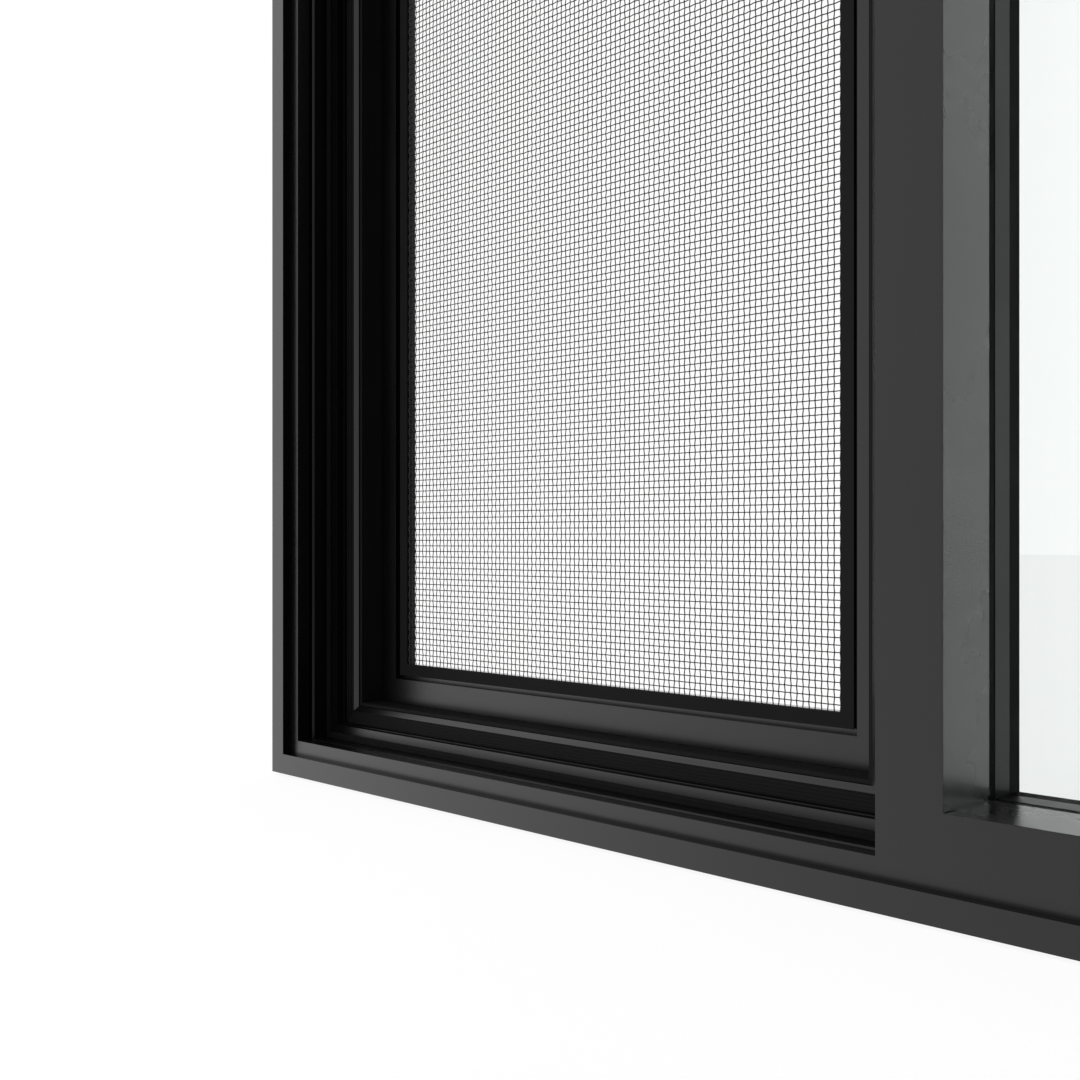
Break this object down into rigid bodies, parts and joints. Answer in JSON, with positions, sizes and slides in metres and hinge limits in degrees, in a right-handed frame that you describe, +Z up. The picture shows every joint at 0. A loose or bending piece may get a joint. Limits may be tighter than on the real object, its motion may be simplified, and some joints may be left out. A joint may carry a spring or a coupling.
{
  "type": "casement window with insect screen and crank",
  "caption": "Two-bay metal window: a framed insect screen beside an outward-opening glazed sash driven by a hand crank, with stepped frame, gaskets, hinges and lever lock.",
  "frame": {"origin": "centre of the sill's underside, half-way through the frame's depth", "axes": "+X along the width towards the glazed sash, +Y to the outside, +Z up; the room side faces -Y"},
  "size_m": [1.094, 0.1543, 0.8],
  "materials": {
    "coat": "satin black powder coat",
    "seal": "matt extruded rubber",
    "screen_wire": "coated woven wire",
    "glass": "clear float glass",
    "steel": "zinc plated",
    "aluminium": "mill finish"
  },
  "bodies": {
    "frame": {"frame_left_jamb": "coat", "frame_right_jamb": "coat", "frame_sill": "coat", "frame_head": "coat", "mullion": "coat", "stop_frame_left": "coat", "stop_frame_right": "coat", "stop_frame_bottom": "coat", "stop_frame_top": "coat", "screen_stile_left": "coat", "screen_stile_right": "coat", "screen_rail_bottom": "coat", "screen_rail_top": "coat", "operator_cover": "coat", "lock_base": "coat", "corner_key_bottom_left": "aluminium", "corner_key_bottom_right": "aluminium", "corner_key_top_left": "aluminium", "corner_key_top_right": "aluminium", "front_gasket": "seal", "rear_gasket": "seal", "screen_seal": "seal", "sash_seal": "seal", "screen_bead": "seal", "screen_mesh": "screen_wire", "screen_foot_1": "steel", "screen_foot_2": "steel", "hinge_frame_leaf_1": "steel", "hinge_frame_leaf_2": "steel", "hinge_pin_1": "steel", "hinge_pin_2": "steel", "operator_base": "steel", "lock_gearbox": "steel"},
    "sash": {"sash_stile_lock": "coat", "sash_stile_hinge": "coat", "sash_rail_bottom": "coat", "sash_rail_top": "coat", "glazing_bead": "coat", "glass_inner_pane": "glass", "glass_outer_pane": "glass", "glass_spacer": "seal", "glass_gasket_inner": "seal", "glass_gasket_outer": "seal", "setting_block_1": "seal", "setting_block_2": "seal", "hinge_sash_leaf_1": "steel", "hinge_sash_leaf_2": "steel", "sash_bracket": "steel", "lock_keeper_1": "steel", "lock_keeper_2": "steel"},
    "crank": {"crank_spindle": "steel", "crank_handle": "coat"},
    "knob": {"crank_knob": "coat"},
    "arm": {"operator_arm": "steel"},
    "link": {"operator_link": "steel"},
    "lock_lever": {"lock_lever": "coat"},
    "lock_bar": {"tie_bar": "steel"},
    "plunger_left": {"screen_plunger_1": "steel"},
    "plunger_right": {"screen_plunger_2": "steel"}
  },
  "joints": [
    {"name": "sash_swing", "type": "hinge", "parent": "frame", "child": "sash", "pos_m": [0.52, 0.0555, 0.4], "axis": [0, 0, -1], "range_deg": [0, 80]},
    {"name": "arm_turn", "type": "hinge", "parent": "frame", "child": "arm", "pos_m": [0.45, -0.004, 0.0255], "axis": [0, 0, -1], "range_deg": [0, 80.5]},
    {"name": "link_turn", "type": "hinge", "parent": "arm", "child": "link", "pos_m": [0.31174, -0.026, 0.028], "axis": [0, 0, -1], "range_deg": [-80.5, 0]},
    {"name": "crank_turn", "type": "hinge", "parent": "frame", "child": "crank", "pos_m": [0.4265, -0.024, 0.031], "axis": [0, -0.866, 0.5], "range_deg": [0, 3320]},
    {"name": "knob_spin", "type": "hinge", "parent": "crank", "child": "knob", "pos_m": [0.3715, -0.024, 0.031], "axis": [0, -0.866, 0.5], "continuous": true},
    {"name": "lock_turn", "type": "hinge", "parent": "frame", "child": "lock_lever", "pos_m": [0.0029, -0.05, 0.6], "axis": [0, -1, 0], "range_deg": [0, 170]},
    {"name": "bar_slide", "type": "slide", "parent": "frame", "child": "lock_bar", "axis": [0, 0, -1], "range_m": [0, 0.0222]},
    {"name": "plunger_left_slide", "type": "slide", "parent": "frame", "child": "plunger_left", "axis": [0, 0, -1], "range_m": [0, 0.006], "stiffness_N_per_m": 200, "springref_m": -0.004},
    {"name": "plunger_right_slide", "type": "slide", "parent": "frame", "child": "plunger_right", "axis": [0, 0, -1], "range_m": [0, 0.006], "stiffness_N_per_m": 200, "springref_m": -0.004}
  ],
  "couplings": [
    {"joint": "arm_turn", "follows": "sash_swing", "ratio": 1},
    {"joint": "link_turn", "follows": "sash_swing", "ratio": -1},
    {"joint": "crank_turn", "follows": "sash_swing", "ratio": 41.416},
    {"joint": "bar_slide", "follows": "lock_turn", "m_per_rad": 0.007415}
  ]
}
